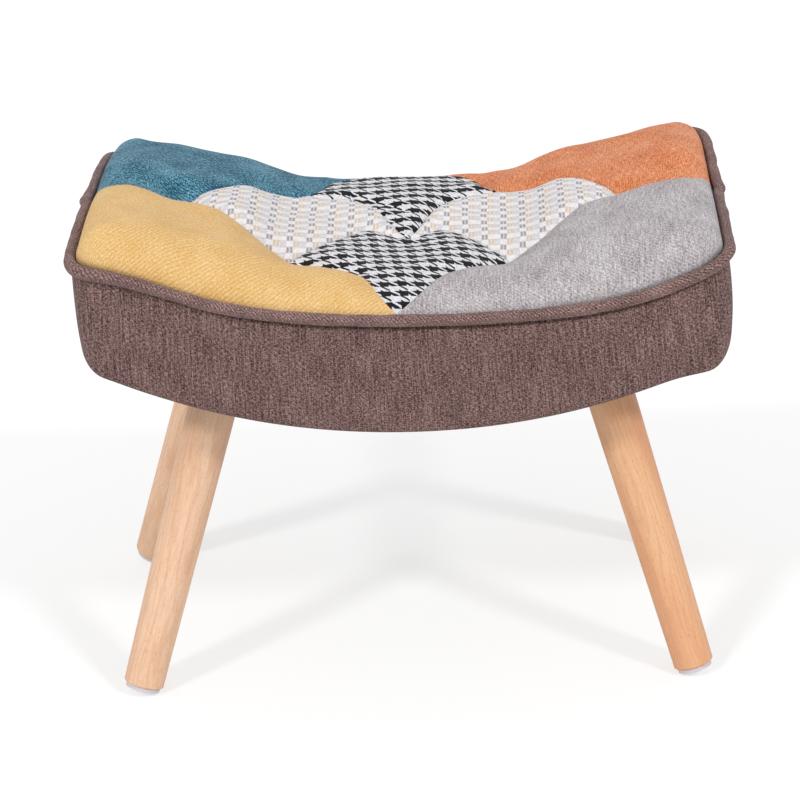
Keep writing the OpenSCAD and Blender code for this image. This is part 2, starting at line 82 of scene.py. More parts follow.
# The tufts: x, y, depth and reach of the dimple, and depth of the pinch at its bottom
TUFTS = (
    (0, 0, 4, 38, 0.5),
    (-TUFT_X, 0, 13, 20, 0.5),
    (TUFT_X, 0, 7, 14, 0.5),
    (-TUFT_DIAG[0], -TUFT_DIAG_Y, 8, 28, 1.5),
    (TUFT_DIAG[0], -TUFT_DIAG_Y, 9, 28, 1.5),
    (-TUFT_DIAG[0], TUFT_DIAG_Y, -2, 30, 1),
    (TUFT_DIAG[0], TUFT_DIAG_Y, -2, 30, 1),
)
LEG_SLOPE_X = math.tan(SPLAY_SIDE)
LEG_SLOPE_Y = math.tan(SPLAY_FRONT)

# How the photographed cover has settled on its frame
SHEAR = 0.06
SHEAR_FADE_X = 150
TWIST = 0.026
TWIST_FADE_Y = 170
# Places where the cushion has sunk or risen: x, y, reach and height
SETTLINGS = (
    (-272, 130, 46, -9), (284, 136, 40, -13), (279, 152, 25, -9), (268, -125, 55, -5),
    (0, -80, 60, -4), (0, -35, 28, -3), (0, -165, 45, -7), (0, 90, 55, 4.5),
    (-162, 38, 28, 3), (162, 38, 28, 3), (-165, -28, 26, 4.5), (165, -28, 26, 4),
    (-215, 5, 30, -3), (-240, 8, 30, -3), (-282, 10, 28, -9), (235, 5, 36, -6),
    (276, 10, 32, -12), (-190, 128, 50, 2.5), (-242, 140, 30, 2.5), (150, 128, 60, 3),
    (-70, 85, 32, 2), (70, 85, 32, 2), (-52, -135, 32, 4), (52, -135, 32, 4),
)
# Folds pulled into the cover beside its seams: from, to, half width and depth
PULLED_FOLDS = (
    ((-94, -84), (-42, -112), 7, 3.5),
    ((98, -84), (48, -108), 7, 3),
    ((0, 48), (-52, 92), 3.5, 2.8),
)
# How much flatter the cushion lies between the ends, and how far out
MIDDLE_FLATTER = 17
MIDDLE_REACH = 132
# Between where the crown's edge widens, from the middle to the ends and from the back to the front
EDGE_WIDENS_X = (40, 200)
EDGE_WIDENS_Y = (-60, 60)
# How far the cover is drawn back round the middle tuft, which stays: amount, y, reach in y and x
BACK_DRAWS = ((52, -30, 90, 105), (12, 60, 45, 80))
BACK_HOLE = (28, 54)
# Tufts and seam ends that lie aside: x, y, reach and the way in x and y
SIDE_DRAWS = (
    (-100, 102, 40, 8, -12), (100, 102, 40, -12, -12), (-100, -102, 35, -5, 15),
    (100, -102, 35, -2, 14), (0, -174, 35, -4, 0), (0, 0, 26, 2.5, 0),
    (-45, -135, 35, 0, 15), (45, -135, 35, 0, 14), (-38, 142, 45, -26, 0),
    (38, 142, 40, 16, 0), (-160, 45, 35, 0, 12), (160, 45, 35, 0, 12),
    (200, 0, 30, 4, -6), (-200, 0, 34, -11, 0), (-24, -150, 24, 0, 12), (24, -150, 24, 0, 9),
)
# Where the piping dips or rises: x, front or rear, reach and height
PIPING_LIFTS = ((-294, -1, 20, -8), (-225, -1, 42, 4.5), (205, -1, 80, -5.5), (274, 1, 34, 8))
# Between where these fade in, from the middle to the front or rear
PIPING_FADE_Y = (60, 170)
# How far the piping and the cover round the rear corners more softly, and over what reach
CORNER_PULL = 6
CORNER_PULL_REACH = 34

# Creases and small folds of the cover
CREASE_DEPTH = 2.2
CREASE_W = 2.4
PINCH_W = 5
HELD_EDGE_W = 60
DRAWN_EDGE_W = 30
FOLDS_PER_TUFT = 9
SLOW_WAVES = 14
SLOW_WAVE_H = 0.16
COVER_T = 1.6
SEED = 7

# Cells of the fine grids
SEAM_CELLS = 48
SIDE_SEAM_CELLS = 30
SIDE_EDGE_CELLS = 30
CORNER_CELLS = 24
RISE_CELLS = 52
OUTLINE_STEP = 3.5
OUTLINE_CORNER_POINTS = 14


# Shapes

def smooth_step(value, low, high):
    """0 below low, 1 above high and smooth between."""
    t = np.clip((value - low) / (high - low), 0, 1)
    return t * t * (3 - 2 * t)


def hump(distance, reach):
    """1 at no distance, and fading out smoothly beyond the reach."""
    return np.exp(-((distance / reach) ** 2))


def lifted(plan, z):
    """Points of a plan at their heights."""
    return np.stack(np.broadcast_arrays(plan[..., 0], plan[..., 1], z), axis=-1)


def edge_z(x, half=HALF_W):
    """Height of the piping line over a point across."""
    return PIPING_MID_H + PIPING_RISE * np.minimum(np.abs(x) / half, 1) ** RISE_POWER


def past_straights(x, y):
    """How far points lie past the straight stretches of the outline, across and to the back."""
    return np.abs(x) - (HALF_W - CORNER_R), np.abs(y) - (HALF_D - CORNER_R)


def edge_distance(x, y, inset=0.0):
    """Distance in from the rounded outline of the cover, drawn in by an amount."""
    qx, qy = past_straights(x, y)
    outside = np.hypot(np.maximum(qx, 0), np.maximum(qy, 0))
    return CORNER_R - inset - outside - np.minimum(np.maximum(qx, qy), 0)


def outward(x, y):
    """Direction from a point to the nearest stretch of the outline, in plan."""
    qx, qy = past_straights(x, y)
    in_corner = (qx > 0) & (qy > 0)
    length = np.maximum(np.hypot(qx, qy), 1e-9)
    nx = np.where(in_corner, qx / length, qx > qy) * np.sign(x)
    ny = np.where(in_corner, qy / length, qx <= qy) * np.sign(y)
    return nx, ny


def stretch_distance(x, y, a, b):
    """Distance from a point to the stretch between a and b."""
    ax, ay = a
    dx, dy = b[0] - ax, b[1] - ay
    t = np.clip(((x - ax) * dx + (y - ay) * dy) / (dx * dx + dy * dy), 0, 1)
    return np.hypot(x - ax - t * dx, y - ay - t * dy)


def seam_distance(x, y):
    """Distance to the nearest seam, by the symmetry of the seat."""
    x, y = np.abs(x), np.abs(y)
    side = (TUFT_X, 0)
    seams = (((0, 0), TUFT_DIAG), (side, TUFT_DIAG), (side, (HALF_W, 0)), (TUFT_DIAG, (0, HALF_D)))
    return np.minimum.reduce([stretch_distance(x, y, a, b) for a, b in seams])


def folds(x, y):
    """Small folds that run out from the tufts, and the cover's slow unevenness."""
    rng = np.random.default_rng(SEED)
    height = np.zeros_like(x)
    for tx, ty, *_ in TUFTS:
        r = np.hypot(x - tx, y - ty)
        turn = np.arctan2(y - ty, x - tx)
        for _ in range(FOLDS_PER_TUFT):
            at, wide = rng.uniform(-math.pi, math.pi), rng.uniform(0.10, 0.24)
            reach, deep = rng.uniform(9, 20), rng.uniform(-1.5, 0.9)
            off = np.angle(np.exp(1j * (turn - at)))
            height += deep * hump(off, wide) * r / reach * np.exp(1 - r / reach)
    for _ in range(SLOW_WAVES):
        way, pitch, start = rng.uniform(0, math.pi), rng.uniform(28, 80), rng.uniform(0, 6.28)
        across = x * math.cos(way) + y * math.sin(way)
        height += SLOW_WAVE_H * np.sin(across * FULL_TURN / pitch + start)
    return height


def drawn(x, y):
    """Plan points of the straight pattern of patches, moved to where they lie on the cushion."""
    hole = 1 - np.exp(-((x / BACK_HOLE[0]) ** 2) - (y / BACK_HOLE[1]) ** 2)
    aside = back = 0.0
    for amount, at_y, reach_y, reach_x in BACK_DRAWS:
        back += amount * np.exp(-(((y - at_y) / reach_y) ** 2) - (x / reach_x) ** 4) * hole
    for at_x, at_y, reach, way_x, way_y in SIDE_DRAWS:
        share = hump(np.hypot(x - at_x, y - at_y), reach)
        aside += way_x * share
        back += way_y * share
    return x + aside, y + back * smooth_step(edge_distance(x, y), 0, DRAWN_EDGE_W)


def undrawn(x, y):
    """The points of the straight pattern that are moved to these."""
    px, py = x, y
    for _ in range(20):
        mx, my = drawn(px, py)
        px, py = px + x - mx, py + y - my
    return px, py


def cushion_z(x, y, inset=0.0, fine=False, pattern=None):
    """Height of the cushion's surface, with its fine creases or without."""
    px, py = undrawn(x, y) if pattern is None else pattern
    wide = np.maximum(smooth_step(np.abs(x), *EDGE_WIDENS_X), 1 - smooth_step(y, *EDGE_WIDENS_Y))
    edge_w = REAR_EDGE_W + (CROWN_EDGE_W - REAR_EDGE_W) * wide
    away = np.clip(edge_distance(x, y, inset) / edge_w, 0, 1)
    full = np.sqrt(1 - (1 - away) ** 2)
    seam = seam_distance(px, py)
    held = smooth_step(edge_distance(x, y), 0, HELD_EDGE_W)
    drop = SEAM_DEPTH * held * hump(seam, SEAM_DRAW_W)
    drop += MIDDLE_FLATTER * np.exp(-((x / MIDDLE_REACH) ** 8))
    for tx, ty, depth, reach, pinch in TUFTS:
        at_x, at_y = drawn(tx, ty)
        r = np.hypot(x - at_x, y - at_y)
        drop += depth * hump(r, reach)
        if fine:
            drop += pinch * np.exp(-r / PINCH_W)
    for at_x, at_y, reach, height in SETTLINGS:
        drop -= height * hump(np.hypot(x - at_x, y - at_y), reach)
    for start, end, half_w, deep in PULLED_FOLDS:
        drop += deep * hump(stretch_distance(x, y, start, end), half_w)
    if fine:
        drop += CREASE_DEPTH * (0.4 + 0.6 * held) * np.exp(-seam / CREASE_W) - folds(px, py)
    return edge_z(x, HALF_W - inset) + full * (CROWN_H - inset - drop)


def settled(points, down=0.0):
    """Points of the soft seat, sheared and twisted a little as in the photograph.

    Down goes from 0 at the piping to 1 at the underside, where the frame holds the cover:
    there it is sheared outwards but not inwards, and isn't twisted.
    """
    x, y, z = points[..., 0], points[..., 1], points[..., 2]
    inwards = 1 - smooth_step(x * np.sign(y), -SHEAR_FADE_X, SHEAR_FADE_X)
    twist = TWIST * x * (1 - y / TWIST_FADE_Y) / 2
    corner = np.hypot(np.abs(x) - HALF_W, y - HALF_D)
    pull = (1 - down) * CORNER_PULL * hump(corner, CORNER_PULL_REACH)
    moved_x = x + (1 - down * inwards) * SHEAR * y - np.sign(x) * pull
    lift = sum(height * hump(x - at, reach) * smooth_step(side * y, *PIPING_FADE_Y)
               for at, side, reach, height in PIPING_LIFTS)
    return np.stack([moved_x, y - pull, z + (1 - down) * (lift - twist)], axis=-1)


def underside_z(x):
    """Height of the underside over a point across."""
    x = np.minimum(np.abs(x), HALF_W)
    turn = END_X * BEND_R / (BEND_R - END_R)
    middle = BEND_Z - np.sqrt(BEND_R**2 - x**2)
    end = END_Z - np.sqrt(np.maximum(END_R**2 - (x - END_X) ** 2, 0))
    return np.where(x < turn, middle, end)


def outline(inset=0.0, step=OUTLINE_STEP):
    """Points and outward directions round the seat's plan, from the right end over the back."""
    straight_x, straight_y, r = HALF_W - CORNER_R, HALF_D - CORNER_R, CORNER_R - inset
    corners = []
    for i, (sx, sy) in enumerate(((1, 1), (-1, 1), (-1, -1), (1, -1))):
        turns = math.radians(90 * i) + np.linspace(0, QUARTER_TURN, OUTLINE_CORNER_POINTS)
        normal = np.stack([np.cos(turns), np.sin(turns)], 1)
        corners.append(((sx * straight_x, sy * straight_y) + r * normal, normal))
    points, normals = [], []
    for (arc, normal), (after, _) in zip(corners, corners[1:] + corners[:1]):
        gap = after[0] - arc[-1]
        count = max(2, int(np.linalg.norm(gap) / step))
        count += count % 2
        points += [arc, arc[-1] + gap * np.arange(1, count)[:, None] / count]
        normals += [normal, np.repeat(normal[-1:], count - 1, axis=0)]
    return np.concatenate(points), np.concatenate(normals)


def lengths_along(edge):
    """How far along a closed edge its points lie, and how far round it is."""
    reached = np.cumsum(np.linalg.norm(np.roll(edge, -1, axis=0) - edge, axis=1))
    return np.insert(reached[:-1], 0, 0), reached[-1]


def circle(count):
    """Points round a circle with a radius of one."""
    turns = FULL_TURN * np.arange(count) / count
    return np.stack([np.cos(turns), np.sin(turns)], 1)


def unit(vectors):
    """Vectors brought to a length of one."""
    return vectors / np.maximum(np.linalg.norm(vectors, axis=-1, keepdims=True), 1e-9)


# Mesh helpers

def make_piece(name, points, faces, uv, material):
    """A mesh piece from points in millimetres, with cloth coordinates in millimetres."""
    mesh = bpy.data.meshes.new(name)
    mesh.from_pydata((np.asarray(points) * MM).tolist(), [], [list(map(int, f)) for f in faces])
    layer = mesh.uv_layers.new(name="cloth")
    index = np.empty(len(mesh.loops), dtype=np.int32)
    mesh.loops.foreach_get("vertex_index", index)
    layer.data.foreach_set("uv", np.asarray(uv, dtype=np.float32)[index].ravel())
    work = bmesh.new()
    work.from_mesh(mesh)
    bmesh.ops.remove_doubles(work, verts=work.verts, dist=1e-7)
    bmesh.ops.recalc_face_normals(work, faces=work.faces)
    work.to_mesh(mesh)
    work.free()
    mesh.polygons.foreach_set("use_smooth", [True] * len(mesh.polygons))
    mesh.materials.append(material)
    piece = bpy.data.objects.new(name, mesh)
    bpy.context.scene.collection.objects.link(piece)
    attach(piece, "root")
    return piece


def cells(grid):
    """The four corners of each cell of a grid."""
    return grid[:-1, :-1], grid[1:, :-1], grid[1:, 1:], grid[:-1, 1:]


def grid_faces(rows, columns, first=0, closed=True, ring=False):
    """Quads between a grid's points, with its columns closed round, and its rows too in a ring."""
    index = first + np.arange(rows * columns).reshape(rows, columns)
    if ring:
        index = np.concatenate([index, index[:1]])
    if closed:
        index = np.concatenate([index, index[:, :1]], axis=1)
    return np.stack(cells(index), axis=-1).reshape(-1, 4)


def grid_normals(points, closed=False):
    """Normals of a grid of points, by its rows and columns."""
    if closed:
        points = np.concatenate([points[:, -1:], points, points[:, :1]], axis=1)
    normal = unit(np.cross(np.gradient(points, axis=0), np.gradient(points, axis=1)))
    return normal[:, 1:-1] if closed else normal


def triangles_area(a, b, c):
    """Area of triangles together, in square millimetres."""
    return np.linalg.norm(np.cross(b - a, c - a), axis=-1).sum() / 2


def surface_area(points):
    """Area of a grid of points, in square millimetres."""
    a, b, c, d = cells(points)
    return triangles_area(a, b, c) + triangles_area(a, c, d)


def closed_sheet(name, outer, inner, uv, material, closed):
    """A thin closed piece between two grids of points, joined along their edges."""
    rows, columns = outer.shape[:2]
    count = rows * columns
    faces = [grid_faces(rows, columns, 0, closed), grid_faces(rows, columns, count, closed)]
    index = np.arange(count).reshape(rows, columns)
    rims = [index[0], index[-1]] if closed else [
        np.concatenate([index[0], index[1:, -1], index[-1, -2::-1], index[-2:0:-1, 0]])
    ]
    for rim in rims:
        after = np.roll(rim, -1)
        faces.append(np.stack([rim, after, after + count, rim + count], axis=1))
    points = np.concatenate([outer.reshape(-1, 3), inner.reshape(-1, 3)])
    return make_piece(name, points, np.concatenate(faces), np.concatenate([uv, uv]), material)


def closed_rings(name, points, material):
    """A settled closed piece from rings of points, whose ends meet or close in a point."""
    rows, columns = points.shape[:2]
    x, z = points[..., 0], points[..., 2]
    top = edge_z(x)
    down = np.clip((top - z) / (top - underside_z(x)), 0, 1)
    flat = settled(points, down).reshape(-1, 3)
    return make_piece(name, flat, grid_faces(rows, columns), flat[:, :2], material)


# Cloth coordinates of the cover

class ClothMap:
    """Distances in the cover from the middle of the seat, across and to the back."""

    RIM = 2.0

    def __init__(self):
        self.reach = math.ceil(HALF_W) + 2, math.ceil(HALF_D) + 2
        x, y = (np.arange(-reach, reach + 1.0) for reach in self.reach)
        z = cushion_z(*np.meshgrid(x, y, indexing="ij"))
        self.u, self.v = (np.insert(np.cumsum(np.hypot(1, np.diff(z, axis=axis)), axis=axis), 0, 0, axis=axis)
                          for axis in (0, 1))
        self.u -= self.u[self.reach[0]]
        self.v -= self.v[:, self.reach[1], None]

    def _read(self, table, x, y):
        fx, fy = (np.clip(value + reach, 0, 2 * reach - 0.001) for value, reach in zip((x, y), self.reach))
        i, j = fx.astype(int), fy.astype(int)
        s, t = fx - i, fy - j
        low = table[i, j] * (1 - s) + table[i + 1, j] * s
        high = table[i, j + 1] * (1 - s) + table[i + 1, j + 1] * s
        return low * (1 - t) + high * t

    def at(self, points, lean, tilt, v_from):
        """Cloth coordinates of points on the cover, followed down over its steep rim.

        With a lean the columns of the cloth run straight back, and its rows tilt forwards at the ends.
        The rows are counted from v_from.
        """
        x, y, z = points[..., 0], points[..., 1], points[..., 2]
        short = np.maximum(self.RIM - edge_distance(x, y), 0)
        nx, ny = outward(x, y)
        bx, by = x - nx * short, y - ny * short
        down = np.where(short > 0, np.hypot(short, cushion_z(bx, by) - z), 0)
        u = self._read(self.u, bx, by) + nx * down
        v = self._read(self.v, bx, by) + ny * down
        v -= self._read(self.v, bx, np.full_like(by, v_from))
        if lean is not None:
            u = bx + lean * by
            v += tilt * np.abs(bx)
        return np.stack([u, v], axis=-1).reshape(-1, 2)


# Patches, from grids for the rear right quarter

# Each patch: kind, side, rear or front, lean of its columns, tilt of its rows, y from which the rows
# are counted, and where its pattern starts
PATCHES = {
    "patch_teal": ("corner", -1, 1, None, 0, 0, (0, 0)),
    "patch_orange": ("corner", 1, 1, None, 0, 0, (0, 0)),
    "patch_mustard": ("corner", -1, -1, None, 0, 0, (0, 0)),
    "patch_grey": ("corner", 1, -1, None, 0, 0, (0, 0)),
    "patch_cream_left": ("cream", -1, 1, 0.0, 0.45, 0, (0, 0)),
    "patch_cream_right": ("cream", 1, 1, 0.0, 0.45, 0, (0, 0)),
    "patch_houndstooth_front": ("houndstooth", 1, -1, 0.12, 0, -HALF_D, (12, 0)),
    "patch_houndstooth_rear": ("houndstooth", 1, 1, 0.06, 0, 0, (0, 12)),
}


def spread(count):
    """Steps from 0 to 1, a little closer together at both ends."""
    t = np.arange(count + 1) / count
    return (t + (1 - np.cos(math.pi * t)) / 2) / 2


def runs(corners, counts):
    """Points along straight stretches between corners."""
    corners = np.array(corners)
    parts = [a + (b - a) * spread(count)[1:, None] for a, b, count in zip(corners, corners[1:], counts)]
    return np.concatenate([corners[:1], *parts])


def corner_grid():
    """Plan points of a corner patch, from its seams to the outline."""
    seam = runs([(HALF_W, 0), (TUFT_X, 0), TUFT_DIAG, (0, HALF_D)],
                [SIDE_SEAM_CELLS, SEAM_CELLS, SEAM_CELLS])
    long_cells = len(seam) - 1 - SIDE_EDGE_CELLS - CORNER_CELLS
    turns = np.linspace(0, QUARTER_TURN, CORNER_CELLS + 1)[1:-1]
    centre = (HALF_W - CORNER_R, HALF_D - CORNER_R)
    edge = np.concatenate([
        [(HALF_W, centre[1] * share) for share in np.linspace(0, 1, SIDE_EDGE_CELLS + 1)],
        centre + CORNER_R * np.stack([np.cos(turns), np.sin(turns)], 1),
        [(centre[0] * share, HALF_D) for share in np.linspace(1, 0, long_cells + 1)],
    ])
    t = np.arange(RISE_CELLS + 1) / RISE_CELLS
    t = (t + 2 * np.sin(QUARTER_TURN * t)) / 3
    return seam[:, None] + (edge - seam)[:, None] * t[None, :, None]


def diamond_grid(*corners):
    """Plan points of a diamond patch between its four corners."""
    a, b, c, d = np.array(corners)
    u, v = spread(SEAM_CELLS)[:, None, None], spread(SEAM_CELLS)[None, :, None]
    return (a + (b - a) * u) * (1 - v) + (d + (c - d) * u) * v


def patch_plan(kind):
    """Plan points of one kind of patch."""
    if kind == "corner":
        return corner_grid()
    diag_x, diag_y = TUFT_DIAG
    if kind == "cream":
        return diamond_grid((0, 0), TUFT_DIAG, (TUFT_X, 0), (diag_x, -diag_y))
    return diamond_grid((0, 0), (-diag_x, diag_y), (0, HALF_D), TUFT_DIAG)


def make_patch(name, cloth_map, material):
    """One patch of the cover as a thin closed piece."""
    kind, sx, sy, lean, tilt, v_from, start = PATCHES[name]
    # Turned so that the grid's normals point into the cushion
    plan = patch_plan(kind)[::sx * sy] * (sx, sy)
    pattern = plan[..., 0], plan[..., 1]
    x, y = drawn(*pattern)
    smooth, outer = (np.stack([x, y, cushion_z(x, y, 0.0, fine, pattern)], axis=-1) for fine in (False, True))
    inner = outer + COVER_T * grid_normals(smooth)
    uv = cloth_map.at(smooth, lean, tilt, v_from) + start
    piece = closed_sheet(name + "_cloth", settled(outer), settled(inner), uv, material, False)
    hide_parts(name)
    size = (uv.max(axis=0) - uv.min(axis=0)) * MM
    area = surface_area(outer) * MM**2
    return piece


# The other soft pieces

PAD_INSET = 4.0
PAD_RINGS = 56
PAD_BULGE = 1.2
FOAM_RINGS = 24
FOAM_EDGE_R = 5.0
WADDING_HEM_GAP = 4
KNOT_R = 3
STRAND_LAY = 6.0
STRAND_SIDES = 6
BAND_BULGE = 5.5
BAND_ROWS = 56
BEND_ROWS = 8
HEM_ROWS = 9
# The band's fold under the piping, and the ridge over it: height, then reach and rise as shares
BAND_FOLDS = ((-3.0, 0.013, 0), (1.5, 0.02, 0.03))
# Where the band hangs lower by the right end: x, reach and depth
BAND_SAG = (272, 26, 7)
PIPING_SIDES = 22
PIPING_STEP = 2.0
# The joint of the piping's two lengths at each end: how much narrower it is and over what reach, how far
# it stands out at the rear and at the front and over what reach, and how far round it counts
PIPING_NECK = (0.42, 2.8)
PIPING_KINK = (3.2, 0.4, 26)
PIPING_MEET_REACH = 60
COVER_PITCH = 7
COVER_SAG = 3.0
HOLE_CLEARANCE = 2.4
HOLE_POINTS = 40
# The leg holes are a little wider than round, where the legs lean through the cloth
HOLE_SHARES = (1.04, 1.02)
HOLE_LEAN = 6


def make_pad(material):
    """The fibre pad: the cushion's surface above, the foam's below."""
    edge, normals = outline(PAD_INSET)
    t = np.linspace(0, 1, PAD_RINGS + 1)
    plan = edge * ((t + np.sin(QUARTER_TURN * t)) / 2)[:, None, None]
    x, y = plan[..., 0], plan[..., 1]
    top, base = cushion_z(x, y, PAD_INSET), edge_z(x) - PAD_SIDE_H + FIT_GAP
    t = np.linspace(0, 1, 8)[1:-1, None]
    wall = edge + normals * (PAD_BULGE * np.sin(math.pi * t))[..., None]
    wall = lifted(wall, top[-1] + (base[-1] - top[-1]) * t)
    points = np.concatenate([lifted(plan, top), wall, lifted(plan, base)[::-1]])
    pad = closed_rings("fibre_pad_soft", points, material)
    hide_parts("fibre_pad")
    return pad


def make_foam(material):
    """The foam slab on the deck, with softened edges."""
    edge, normals = outline(FRAME_IN)
    middle = edge * np.linspace(0, 1, FOAM_RINGS + 1)[:, None, None] * (1 - FOAM_EDGE_R / HALF_D)
    turns = np.linspace(0, QUARTER_TURN, 5)[1:]
    bend = edge - normals * (FOAM_EDGE_R * (1 - np.sin(turns)))[:, None, None]
    plan = np.concatenate([middle, bend])
    thinner = np.pad(FOAM_EDGE_R * (1 - np.cos(turns)), (len(middle), 0))[:, None]
    x = plan[..., 0]
    top = lifted(plan, edge_z(x) - PAD_SIDE_H - thinner)
    base = lifted(plan, DECK_Z - np.sqrt((DECK_R - DECK_T) ** 2 - x**2) + FIT_GAP + thinner)
    piece = closed_rings("seat_foam_soft", np.concatenate([top, base[::-1]]), material)
    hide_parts("seat_foam")
    return piece


def make_wadding(material):
    """The thin wadding round the frame, under the band."""
    rings = []
    for inset, ends in ((FABRIC_T + 0.4, (0, 1)), (FRAME_IN - FIT_GAP, (1, 0))):
        edge, _ = outline(inset)
        x = edge[:, 0]
        low, high = underside_z(x) + FABRIC_T + WADDING_HEM_GAP, edge_z(x) - PAD_SIDE_H - 1
        rings += [lifted(edge, low + (high - low) * t) for t in np.linspace(*ends, 7)]
    piece = closed_rings("side_wadding_soft", np.array(rings + rings[:1]), material)
    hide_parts("side_wadding")
    return piece


def make_twines(material):
    """The tufting twines, each two strands twisted together, with its knot under the washer."""
    points, faces = [], []

    def add(grid):
        rows, columns = grid.shape[:2]
        faces.append(grid_faces(rows, columns, sum(len(p) for p in points)))
        points.append(grid.reshape(-1, 3))

    strand_r = TWINE_D / 4
    strand = np.pad(np.ones(60), 1)[:, None, None] * strand_r * circle(STRAND_SIDES)
    turns, lifts = FULL_TURN * np.arange(20) / 20, np.linspace(-QUARTER_TURN, QUARTER_TURN, 13)[:, None]
    knot_r = KNOT_R * np.cos(lifts) * (1 + 0.12 * np.sin(3 * turns + 4 * lifts))
    knot = knot_r[..., None] * circle(20)
    for tx, ty, *_ in TUFTS:
        low = float(DECK_Z - math.sqrt(DECK_R**2 - tx**2)) - 5
        high = float(cushion_z(tx, ty, PAD_INSET)) - 1
        heights = np.pad(np.linspace(low, high, 60), 1, mode="edge")[:, None]
        for start in (0, math.pi):
            turn = FULL_TURN * heights / STRAND_LAY + start
            centre = (tx, ty) + strand_r * np.concatenate([np.cos(turn), np.sin(turn)], 1)
            add(lifted(centre[:, None] + strand, heights))
        add(lifted((tx, ty) + knot, low + KNOT_R * np.sin(lifts)))
    flat = np.concatenate(points)
    piece = make_piece("tuft_twines_twisted", flat, np.concatenate(faces), flat[:, :2], material)
    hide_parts("tuft_twines")
    return piece


def make_band(material):
    """The band round the sides, with its rounded lower edge and the hem under the frame."""
    edge, normals = outline()
    along, length = lengths_along(edge)
    x = edge[:, 0]
    high, low = edge_z(x) - FIT_GAP, underside_z(x)
    soft_r = 1.5 + 5 * (1 - smooth_step(np.abs(x), 255, 288))
    at, reach, deep = BAND_SAG
    sag = np.clip(2.5 + 0.012 * x, 0, 6)
    sag += deep * hump(x - at, reach) * smooth_step(-edge[:, 1], 0, 90)
    rows = []
    tuck = 0.055 + 0.03 * smooth_step(x, -100, 250)
    rng = np.random.default_rng(SEED)
    waves = [(rng.uniform(60, 220), rng.uniform(0, 6.28), rng.uniform(0.1, 0.35)) for _ in range(6)]
    wave = sum(size * np.sin(FULL_TURN * along / pitch + start) for pitch, start, size in waves)
    for t in np.linspace(0, 1, BAND_ROWS + 1) ** 1.5:
        z = high + (low + soft_r - high) * t - sag * t
        out = BAND_BULGE * (1 - math.exp(-t / 0.03)) * (1 - 0.8 * t**3) - 1 + wave * math.sin(math.pi * t)
        out += sum(height * hump(t - tuck + rise, reach) for height, reach, rise in BAND_FOLDS)
        rows.append(settled(lifted(edge + normals * out[:, None], z), t))
    for turn in np.linspace(0, QUARTER_TURN, BEND_ROWS + 1)[1:]:
        spot = edge - normals * (soft_r * (1 - math.cos(turn)))[:, None]
        z = underside_z(spot[:, 0]) + soft_r * (1 - math.sin(turn)) - sag
        rows.append(settled(lifted(spot, z), 1.0))
    for t in np.linspace(0, 1, HEM_ROWS + 1)[1:]:
        inset = soft_r + (HEM_W - soft_r) * t
        spot = edge - normals * inset[:, None]
        row = lifted(spot, underside_z(spot[:, 0]) - sag * (1 - smooth_step(inset, 4, 12)))
        loose = 1 - smooth_step(inset, 5, 13)[:, None]
        rows.append(row + (settled(row, 1.0) - row) * loose)
    outer = np.array(rows)
    inner = outer - (FABRIC_T - FIT_GAP) * grid_normals(outer, closed=True)
    steps = np.linalg.norm(np.diff(outer, axis=0), axis=2)
    down = np.insert(np.cumsum(steps, axis=0), 0, 0, axis=0)
    uv = np.stack(np.broadcast_arrays(along, -down), axis=-1).reshape(-1, 2)
    piece = closed_sheet("side_band_cloth", outer, inner, uv, material, True)
    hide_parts("side_band")
    float(surface_area(outer) * MM**2)
    return piece


def make_piping(material):
    """The piping round the seat, in two lengths that meet at the ends."""
    edge, normals = outline(step=PIPING_STEP)
    start = int(np.argmin(np.abs(edge[:, 1]) + 1000 * (edge[:, 0] < 0)))
    edge, normals = np.roll(edge, -start, axis=0), np.roll(normals, -start, axis=0)
    along, _ = lengths_along(edge)
    between_ends = np.abs(edge[:, 0]) < HALF_W - 1
    meet = np.minimum(np.abs(edge[:, 1]), PIPING_MEET_REACH) + PIPING_MEET_REACH * between_ends
    rng = np.random.default_rng(SEED + 1)
    radius = np.full(len(edge), PIPING_R)
    sway = np.zeros(len(edge))
    for _ in range(8):
        pitch, begin = rng.uniform(14, 90), rng.uniform(0, 6.28)
        radius += 0.07 * np.sin(FULL_TURN * along / pitch + begin)
        sway += 0.10 * np.sin(FULL_TURN * along / (1.7 * pitch) + 2 * begin)
    narrower, reach = PIPING_NECK
    radius *= 1 - narrower * hump(meet, reach)
    rear, front, reach = PIPING_KINK
    out = PIPING_OUT + sway + np.where(edge[:, 1] >= 0, rear, front) * hump(meet, reach)
    centre = edge + normals * out[:, None]
    centre = lifted(centre, edge_z(centre[:, 0], HALF_W + PIPING_OUT))
    tangent = np.roll(centre, -1, axis=0) - np.roll(centre, 1, axis=0)
    side = unit(np.cross(tangent, (0, 0, 1)))
    up = unit(np.cross(side, tangent))
    turns = FULL_TURN * np.arange(PIPING_SIDES) / PIPING_SIDES
    ring = side[:, None] * np.cos(turns)[:, None] + up[:, None] * np.sin(turns)[:, None]
    points = settled(centre[:, None] + ring * radius[:, None, None])
    uv = np.stack(np.broadcast_arrays(along[:, None], (turns * PIPING_R)[None]), axis=-1)
    piece = make_piece("piping_cloth", points.reshape(-1, 3),
                       grid_faces(len(points), PIPING_SIDES, ring=True), uv.reshape(-1, 2), material)
    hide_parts("piping")
    return piece


